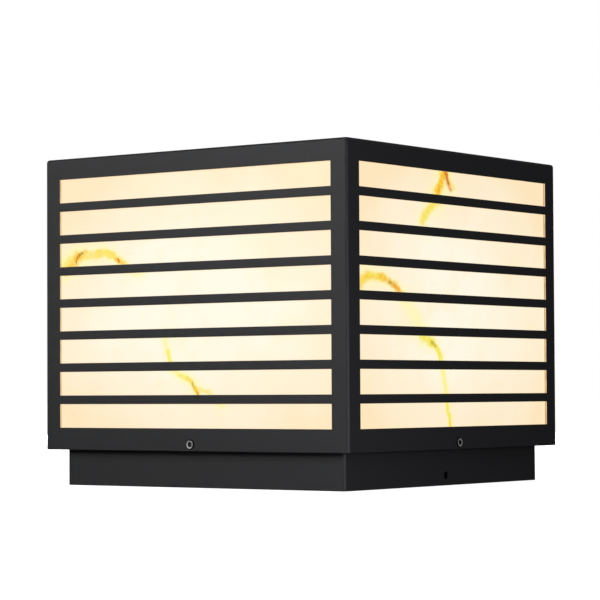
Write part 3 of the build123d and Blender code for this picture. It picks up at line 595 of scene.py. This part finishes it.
def bend_angles():
    """The angles of a right-angled bend's facets."""
    return [radians(90 * step / BEND_STEPS) for step in range(BEND_STEPS + 1)]


def square_ring(half, radius, window_half):
    """A rounded square's outline, with the windows' edges marked on each side."""
    straight = half - radius
    points = []
    for k in range(len(FACES)):
        along = Vector((cos(k * pi / 2), sin(k * pi / 2), 0.0))
        out = Vector((sin(k * pi / 2), -cos(k * pi / 2), 0.0))
        for u in (-straight, -window_half, window_half):
            points.append(along * u + out * half)
        for angle in bend_angles()[:-1]:
            points.append((along + out) * straight + (out * cos(angle) + along * sin(angle)) * radius)
    return points


def housing_shell(coat, cut_edge_painted_glow):
    """The welded housing in one skin: four walls with eight windows each, and the rounded cover."""
    half = mm_box("top_cover")[1].x
    top = mm_box("top_cover")[1].z
    foot = mm_box("front_wall")[0].z
    window_half = half - STILE_W
    levels = [(foot, 0.0, False)]       # height, inset, whether windows stand above it
    for row in range(WINDOW_ROWS):
        low = top - TOP_RAIL_H - WINDOW_H - (WINDOW_ROWS - 1 - row) * (WINDOW_H + BAR_H)
        levels.append((low, 0.0, True))
        levels.append((low + WINDOW_H, 0.0, False))
    for angle in bend_angles():
        levels.append((top - BEND_R + BEND_R * sin(angle), BEND_R * (1 - cos(angle)), False))
    bm = bmesh.new()
    rings = []
    for z, inset, _ in levels:
        ring = square_ring(half - inset, BEND_R - inset, window_half)
        rings.append([bm.verts.new((at.x, at.y, z)) for at in ring])
    count = len(rings[0])
    per_side = count // 4
    for low, high, (_, _, windows) in zip(rings, rings[1:], levels):
        for j in range(count):
            in_window = windows and j % per_side == 1
            if not in_window:
                n = (j + 1) % count
                bm.faces.new((low[j], low[n], high[n], high[j]))
    bm.faces.new(rings[-1])
    names = [face + "_wall" for face in FACES] + ["top_cover"]
    piece = mesh_piece("housing_shell", bm, "shade", [coat, cut_edge_painted_glow], names)
    sheet = piece.modifiers.new("sheet", "SOLIDIFY")
    sheet.thickness = SHEET * MM
    sheet.offset = -1.0
    sheet.use_even_offset = True
    # the sheet's cut edges take the second material, a painted glow of the panels' light
    sheet.material_offset_rim = 1
    soften(piece, "powder_coat")


# ---- screws, studs and the gland ----------------------------------------------------------------

M4 = (2.0, 0.3, 0.7)            # radius, thread depth, pitch
SCREW_HEAD = (3.8, 1.0)         # radius, height
SCREW_L = 10.0
SCREW_NECK = (1.7, 0.1)         # radius, length
SCREW_FOOT = (0.15, 0.12)       # how far the head's lower edge is eased inwards and upwards
SCREW_DOME = (4.25, 1.6)        # radius, centre below the bearing face
SCREW_DOME_ROWS = (0.3, 0.5, 0.7, 0.85, 0.94)
SCREW_EASED = 0.06
SOCKET_AF = 2.5
SOCKET_MOUTH = (2.1, 0.55)      # radius at the top, height where the cone meets the hexagon
SOCKET_LIP = (0.08, 0.05)       # how far the mouth's edge is eased outwards and downwards
SOCKET_FLOOR = -0.3
SOCKET_POINT = -0.5
BRIGHT_R = 3.15                 # the head is polished metal inside this radius; round it, its rim is painted black as shade
SOCKET_ROWS = 4                 # rows of faces from the cone to the socket's middle
SCREW_STEPS = 5                 # points a pitch of the thread
STUD_STEPS = 6


def dome_radius(height):
    """The screw head's radius at a height of its dome."""
    radius, drop = SCREW_DOME
    return sqrt(radius ** 2 - (height + drop) ** 2)


def low_head_screw(turn):
    """M4 low-head screw: threaded shank, rounded rim, and a hexagon socket with a coned mouth."""
    rim, top = SCREW_HEAD
    neck_r, neck_l = SCREW_NECK
    inwards, upwards = SCREW_FOOT
    points = [(0.0, -SCREW_L)] + thread(turn, *M4, -SCREW_L, -neck_l, SCREW_STEPS)
    points += [(neck_r, 0.0), (rim - inwards, 0.0), (rim, upwards)]
    for height in SCREW_DOME_ROWS:
        points.append((dome_radius(height), height))
    points += [(dome_radius(top) - SCREW_EASED, top), (BRIGHT_R, top)]
    mouth, meet = SOCKET_MOUTH
    outwards, downwards = SOCKET_LIP
    points += [(mouth + outwards, top), (mouth, top - downwards)]
    socket = hexagon_radius(turn, SOCKET_AF)
    return points + [(socket, meet), (socket, SOCKET_FLOOR), (0.0, SOCKET_POINT)]


def housing_screws(head, painted_shade):
    """The four housing screws, one in each face."""
    low, high = mm_box("housing_screws")
    bearing = mm_box("top_cover")[1].x
    height = (low.z + high.z) / 2
    profile = low_head_screw(0.0)
    edge = next(i for i, (radius, _) in enumerate(profile) if radius == BRIGHT_R)
    socket = range(len(profile) - SOCKET_ROWS, len(profile))
    bm = bmesh.new()
    for k in range(len(FACES)):
        turn = Matrix.Rotation(k * pi / 2, 4, "Z")
        place = turn @ Matrix.Translation((0, -bearing, height)) @ Matrix.Rotation(pi / 2, 4, "X")
        # painted shade: the rim round the bright ring, the shank and the socket take the near-black second
        # material
        revolve(bm, low_head_screw, segments=48, place=place, dark={*range(edge), *socket})
    piece = mesh_piece("low_head_screws", bm, "shade", [head, painted_shade], ["housing_screws"])
    piece.modifiers.new("shading", "WEIGHTED_NORMAL")


def earth_stud(material):
    """M4 threaded stud that the earth tag is clamped on."""
    low, high = mm_box("earth_stud")
    middle = (low + high) / 2

    def profile(turn):
        return [(0.0, low.z)] + thread(turn, *M4, low.z, high.z, STUD_STEPS) + [(0.0, high.z)]

    bm = bmesh.new()
    revolve(bm, profile, segments=32, place=Matrix.Translation((middle.x, middle.y, 0)))
    mesh_piece("threaded_earth_stud", bm, "base", [material], ["earth_stud"])


GLAND_BORE_R = 6.0
GLAND_NOSE_R = 9.6
GLAND_CUP_R = 8.0
GLAND_THREAD = (9.9, 0.6, 1.5)  # radius, depth, pitch
GLAND_AF = 24.0
GLAND_HEX = (21.3, 27.3)        # heights of the hexagon's lower and upper faces
GLAND_CUP_TOP = 19.0
GLAND_STEPS = 8
CHAMFER = 0.5


def gland_body(material):
    """Cable gland body: hexagon with chamfered corners and a threaded neck."""
    low, high = mm_box("gland_body")
    middle = (low + high) / 2
    hex_low, hex_high = GLAND_HEX

    def profile(turn):
        flat = hexagon_radius(turn, GLAND_AF)
        eased = min(flat, GLAND_AF / 2 + CHAMFER)
        points = [(GLAND_CUP_R, low.z), (GLAND_NOSE_R, low.z), (GLAND_NOSE_R, hex_low)]
        points += [(eased, hex_low), (flat, hex_low + CHAMFER)]
        points += [(flat, hex_high - CHAMFER), (eased, hex_high)]
        points += thread(turn, *GLAND_THREAD, hex_high, high.z, GLAND_STEPS)
        points += [(GLAND_BORE_R + CHAMFER, high.z), (GLAND_BORE_R, high.z - CHAMFER)]
        points += [(GLAND_BORE_R, GLAND_CUP_TOP), (GLAND_CUP_R, GLAND_CUP_TOP)]
        return points

    bm = bmesh.new()
    revolve(bm, profile, segments=96, closed=True, place=Matrix.Translation((middle.x, middle.y, 0)))
    mesh_piece("threaded_gland", bm, "base", [material], ["gland_body"])


# ---- lampholder and lamp ------------------------------------------------------------------------

E27_PITCH = 3.63
E27_ROOT_R = 11.9
E27_CREST_R = 13.0
E27_WALL = 0.5
SLEEVE_BORE_R = 13.3
SLEEVE_GROOVE = 0.5
SLEEVE_FLANGE_R = 8.0
SLEEVE_FLANGE_T = 0.8
SLEEVE_STEPS = 8
CAP_FOOT = (0.2, 0.4)           # how far the cap's lower edge is rolled in, and its height
CAP_THREAD_END = 3.0            # below the cap's upper edge, like the next three
CAP_BEAD_START = 2.4
CAP_BEAD_LOW = 1.6
CAP_BEAD_HIGH = 0.5
CAP_BEAD_OUT = 0.5
CAP_STEPS = 12


def lampholder_sleeve(material):
    """Rolled brass sleeve with the lampholder's thread inside."""
    low, high = mm_box("lampholder_shell")
    outer = high.x

    def profile(turn):
        inside = thread(turn, SLEEVE_BORE_R + SLEEVE_GROOVE, SLEEVE_GROOVE, E27_PITCH,
                        low.z + SLEEVE_FLANGE_T, high.z, SLEEVE_STEPS)
        points = [(SLEEVE_FLANGE_R, low.z), (outer, low.z), (outer, high.z)]
        return points + inside[::-1] + [(SLEEVE_FLANGE_R, low.z + SLEEVE_FLANGE_T)]

    bm = bmesh.new()
    revolve(bm, profile, segments=72, closed=True)
    mesh_piece("threaded_sleeve", bm, "base", [material], ["lampholder_shell"])


def lamp_cap(material):
    """Rolled E27 cap, with a bead below its upper edge."""
    low, high = mm_box("bulb_cap")
    inner = E27_ROOT_R - E27_WALL
    bead = E27_ROOT_R + CAP_BEAD_OUT
    rolled_in, foot_h = CAP_FOOT

    def profile(turn):
        points = [(inner, low.z), (E27_ROOT_R - rolled_in, low.z)]
        points += thread(turn, E27_CREST_R, E27_CREST_R - E27_ROOT_R, E27_PITCH, low.z + foot_h,
                         high.z - CAP_THREAD_END, CAP_STEPS)
        points += [(E27_ROOT_R, high.z - CAP_BEAD_START), (bead, high.z - CAP_BEAD_LOW)]
        points += [(bead, high.z - CAP_BEAD_HIGH), (E27_ROOT_R, high.z)]
        return points + [(inner, high.z)]

    bm = bmesh.new()
    revolve(bm, profile, segments=96, closed=True)
    mesh_piece("threaded_lamp_cap", bm, "bulb", [material], ["bulb_cap"])


LAMP_NECK_R = 11.2
LAMP_WALL = 1.8
LAMP_RIBS = 24
LAMP_RIB_DEPTH = 0.35
LAMP_FOOT_R = 13.2
LAMP_FOOT_EASED = 0.5
LAMP_RIM_EASED = 0.4
LAMP_FLARE = 1.15               # power of the cone's widening
LAMP_ROWS = 16
RIB_RISE = 8.0                  # how fast the ribs grow from the foot
RIB_FALL = 7.0                  # and shrink again towards the collar
RIB_END = 0.86                  # share of the cone's height where the plain collar starts


def lamp_body(material):
    """Lamp's moulded body: a flared cone with shallow cooling ribs below a plain collar."""
    low, high = mm_box("bulb_body")
    rim = high.x
    cone_foot = mm_box("bulb_cap")[1].z
    cone_h = high.z - LAMP_RIM_EASED - cone_foot
    inner_foot = cone_foot + LAMP_WALL

    def profile(turn):
        ribs = LAMP_RIB_DEPTH * (0.5 + 0.5 * cos(tau * LAMP_RIBS * turn))
        points = [(LAMP_NECK_R - LAMP_WALL, low.z), (LAMP_NECK_R, low.z), (LAMP_NECK_R, cone_foot)]
        points.append((LAMP_FOOT_R - LAMP_FOOT_EASED, cone_foot))
        for row in range(1, LAMP_ROWS + 1):
            share = row / LAMP_ROWS
            fade = min(1.0, RIB_RISE * share, max(0.0, RIB_FALL * (RIB_END - share)))
            radius = LAMP_FOOT_R + (rim - LAMP_FOOT_R) * share ** LAMP_FLARE - ribs * fade
            points.append((radius, cone_foot + cone_h * share))
        points += [(rim - LAMP_RIM_EASED, high.z), (rim - LAMP_WALL, high.z)]
        return points + [(LAMP_FOOT_R - LAMP_WALL, inner_foot), (LAMP_NECK_R - LAMP_WALL, inner_foot)]

    bm = bmesh.new()
    revolve(bm, profile, segments=192, closed=True)
    mesh_piece("ribbed_lamp_body", bm, "bulb", [material], ["bulb_body"])


GLOBE_WALL = 1.5
GLOBE_STEPS = 36


def lamp_globe(material):
    """The lamp's opal globe, a hollow sphere cut off by its body."""
    low, high = mm_box("bulb_globe")
    radius = high.x
    centre = high.z - radius
    outer = arc(centre, radius, low.z, high.z, GLOBE_STEPS)
    inner = arc(centre, radius - GLOBE_WALL, high.z - GLOBE_WALL, low.z, GLOBE_STEPS)
    bm = bmesh.new()
    revolve(bm, lambda _: outer + inner, segments=96, closed=True)
    mesh_piece("opal_globe", bm, "bulb", [material], ["bulb_globe"])


# ---- studio -------------------------------------------------------------------------------------

CAMERA_AT = Vector((1.2074, -1.6434, 0.07505))
CAMERA_AZIMUTH = radians(36.41)
CAMERA_PITCH = radians(2.10)
CAMERA_ROLL = radians(-0.289)
CAMERA_LENS = 148.7
FLOOR_RADIUS = 14.0
ROOM_BELOW = (0.016, 0.0165, 0.0175, 1.0)
ROOM_ABOVE = (0.133, 0.135, 0.139, 1.0)


def make_camera():
    """The camera, turned by its azimuth, pitch and roll."""
    data = bpy.data.cameras.new("camera")
    data.lens = CAMERA_LENS
    data.sensor_width = 36.0
    data.clip_start = 0.05
    data.clip_end = 60.0
    camera = bpy.data.objects.new("camera", data)
    bpy.context.scene.collection.objects.link(camera)
    a, t = CAMERA_AZIMUTH, CAMERA_PITCH
    forward = Vector((-sin(a) * cos(t), cos(a) * cos(t), sin(t)))
    right = Vector((cos(a), sin(a), 0.0))
    up = right.cross(forward)
    turned_right = cos(CAMERA_ROLL) * right + sin(CAMERA_ROLL) * up
    turned_up = cos(CAMERA_ROLL) * up - sin(CAMERA_ROLL) * right
    turned = Matrix((turned_right, turned_up, -forward)).transposed()
    camera.matrix_world = Matrix.Translation(CAMERA_AT) @ turned.to_4x4()
    bpy.context.scene.camera = camera


def area_light(name, at, target, size, power, spread=180.0):
    """A rectangular light of a width and height, aimed at a point."""
    data = bpy.data.lights.new(name, "AREA")
    data.shape = "RECTANGLE"
    data.size, data.size_y = size
    data.energy = power
    data.spread = radians(spread)
    lamp = bpy.data.objects.new(name, data)
    lamp.location = at
    lamp.rotation_mode = "QUATERNION"
    lamp.rotation_quaternion = (Vector(target) - Vector(at)).to_track_quat("-Z", "Y")
    bpy.context.scene.collection.objects.link(lamp)


def make_world():
    """White behind the object, and a dim grey room, darker below, for what lights it."""
    world = bpy.data.worlds.new("studio")
    bpy.context.scene.world = world
    world.use_nodes = True
    tree = world.node_tree
    background = next(n for n in tree.nodes if n.type == "BACKGROUND")
    rise = axes(tree, node(tree, "TexCoord").outputs["Generated"])[2]
    room = mix(tree, ramp(tree, rise, -0.15, 0.35), ROOM_BELOW, ROOM_ABOVE)
    seen = node(tree, "LightPath").outputs["Is Camera Ray"]
    tree.links.new(mix(tree, seen, room, WHITE), background.inputs["Color"])


def make_floor():
    """White paper. It lights nothing, so that the lantern's foot stays as dark as its walls."""
    bpy.ops.mesh.primitive_circle_add(vertices=96, radius=FLOOR_RADIUS, fill_type="NGON", location=(0, 0, 0))
    floor = bpy.context.object
    floor.name = "floor"
    floor.visible_diffuse = False
    floor.visible_glossy = False
    made, tree, shader, where = new_material("floor_paper")
    fibre = ramp(tree, noise(tree, where, 30.0, 4.0), 0.3, 0.7)
    paper = mix(tree, fibre, (0.86, 0.86, 0.86, 1.0), (0.9, 0.9, 0.9, 1.0))
    set_shader(tree, shader, Base_Color=paper, Roughness=0.9, Specular_IOR_Level=0.0,
               Emission_Color=WHITE, Emission_Strength=0.96)
    floor.data.materials.append(made)


def make_studio():
    """Camera, room, floor, and three soft lights."""
    make_camera()
    make_world()
    make_floor()
    area_light("key", at=(-1.1, -2.3, 1.35), target=(-0.1, -0.15, 0.85), size=(1.0, 1.8), power=4.5,
               spread=60.0)
    area_light("fill", at=(0.6, -0.42, 0.06), target=(0.15, -0.15, 0.03), size=(0.2, 0.1), power=1.0)
    area_light("back", at=(-1.3, 1.9, 0.35), target=(0.0, 0.0, 0.15), size=(1.2, 0.6), power=40.0)
    scene = bpy.context.scene
    scene.view_settings.view_transform = "Standard"
    scene.view_settings.look = "None"


# ---- dressing the CAD nodes ---------------------------------------------------------------------

HOUSING_COAT = powder_coat("housing_coat", "top_cover")
PLINTH_COAT = powder_coat("plinth_coat", "plinth")
# warm painted glow of the panels' light on the windows' edges
PAINTED_GLOW_EDGE = painted_glow_edge("cut_edge_painted_glow", srgb(255, 219, 165))
SATIN = metal("satin_stainless", srgb(216, 216, 214), srgb(190, 189, 186), 0.5, metallic=0.3)
# near-black steel, painted shade on the screws' rims, shanks and sockets
STAINLESS = metal("stainless_steel", srgb(170, 170, 168), srgb(120, 118, 114), 0.3)
PAINTED_SHADE_BLACK = metal("painted_shade_steel", srgb(30, 30, 31), srgb(12, 12, 12), 0.6)
ZINC = metal("zinc_plate", srgb(186, 189, 193), srgb(140, 146, 152), 0.34, spangle=0.3)
BRASS = metal("brass", srgb(214, 178, 98), srgb(150, 112, 58), 0.3)
NICKEL = metal("nickel", srgb(206, 204, 196), srgb(150, 146, 136), 0.24)
ALUMINIUM = metal("rivet_aluminium", srgb(196, 198, 200), srgb(150, 152, 154), 0.4)
BLACK_STEEL = metal("black_oxide", srgb(38, 38, 40), srgb(20, 20, 21), 0.45)
NYLON = plastic("nylon", srgb(44, 45, 48), 0.5)
RUBBER = plastic("rubber", srgb(30, 30, 31), 0.75, 900.0, 0.7)

FINISHES = {
    "powder_coat": PLINTH_COAT,
    "zinc_steel": ZINC,
    "stainless": STAINLESS,
    "rivet_aluminium": ALUMINIUM,
    "black_steel": BLACK_STEEL,
    "gland_nylon": NYLON,
    "black_rubber": RUBBER,
    # the foam tape's glow is painted light from the lit panels; the tape is no lamp
    "foam": glowing("foam_tape_painted_glow", srgb(214, 146, 78), srgb(170, 104, 48), 0.6, srgb(120, 90, 60)),
    "porcelain": porcelain("porcelain"),
    "brass": BRASS,
    "terminal_plastic": plastic("terminal_polyamide", srgb(222, 220, 210), 0.42),
    "lead_brown": plastic("brown_insulation", srgb(116, 66, 40), 0.42),
    "lead_blue": plastic("blue_insulation", srgb(44, 104, 186), 0.42),
    "lead_green": striped_insulation("earth_insulation", srgb(40, 140, 60), srgb(226, 206, 60)),
    "lamp_cap": NICKEL,
    "lamp_insulator": plastic("black_glass", srgb(18, 18, 22), 0.16, 300.0, 0.1),
    "lamp_plastic": plastic("lamp_plastic", srgb(232, 231, 226), 0.42),
    "lamp_aluminium": plastic("solder_mask", srgb(236, 236, 232), 0.35),
    "lamp_phosphor": glowing("phosphor", srgb(255, 226, 150), srgb(255, 214, 120), 1.2, srgb(240, 200, 90)),
    "lamp_opal": glowing("opal", srgb(255, 244, 222), srgb(255, 234, 196), 0.96, srgb(60, 58, 54)),
}


def dress_nodes():
    """Gives every CAD node its finish, and rounds the edges of the harder ones."""
    panels = {face + "_diffuser": marble_panel(k) for k, face in enumerate(FACES)}
    for part in frame["record"]["subparts"]:
        slot = part["material_slot"]
        piece = frame["nodes"][part["node"]]
        piece.data.materials.clear()
        piece.data.materials.append(panels.get(part["node"]) or FINISHES[slot])
        if slot in EDGE_WIDTHS:
            soften(piece, slot)


make_studio()
dress_nodes()
housing_shell(HOUSING_COAT, PAINTED_GLOW_EDGE)
housing_screws(SATIN, PAINTED_SHADE_BLACK)
earth_stud(BRASS)
gland_body(NYLON)
lampholder_sleeve(BRASS)
lamp_cap(NICKEL)
lamp_body(FINISHES["lamp_plastic"])
lamp_globe(FINISHES["lamp_opal"])
